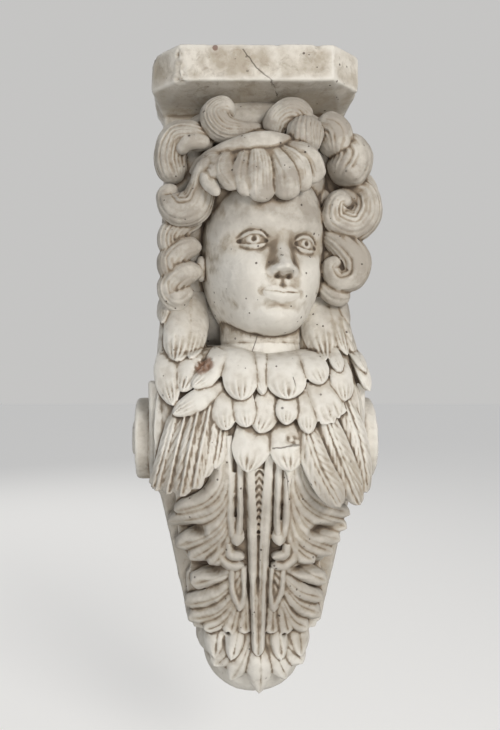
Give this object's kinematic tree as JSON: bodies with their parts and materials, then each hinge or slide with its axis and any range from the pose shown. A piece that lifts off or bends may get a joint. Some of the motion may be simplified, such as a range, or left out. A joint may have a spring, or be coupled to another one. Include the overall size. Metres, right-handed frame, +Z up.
{
  "type": "stone corbel",
  "caption": "Carved wall corbel: slab on a winged child's head, feathered breast, side volutes and an acanthus console.",
  "frame": {"origin": "centre line of the flat back face, level with the top of the console block, at half the total height", "axes": "+Z up, +Y out of the flat back into the wall, the carved front looks along -Y, +X to the right as seen from the front"},
  "size_m": [0.254, 0.1551, 0.66],
  "materials": {
    "stone": "matte"
  },
  "bodies": {
    "root": {"carved_corbel": "stone"}
  },
  "joints": []
}
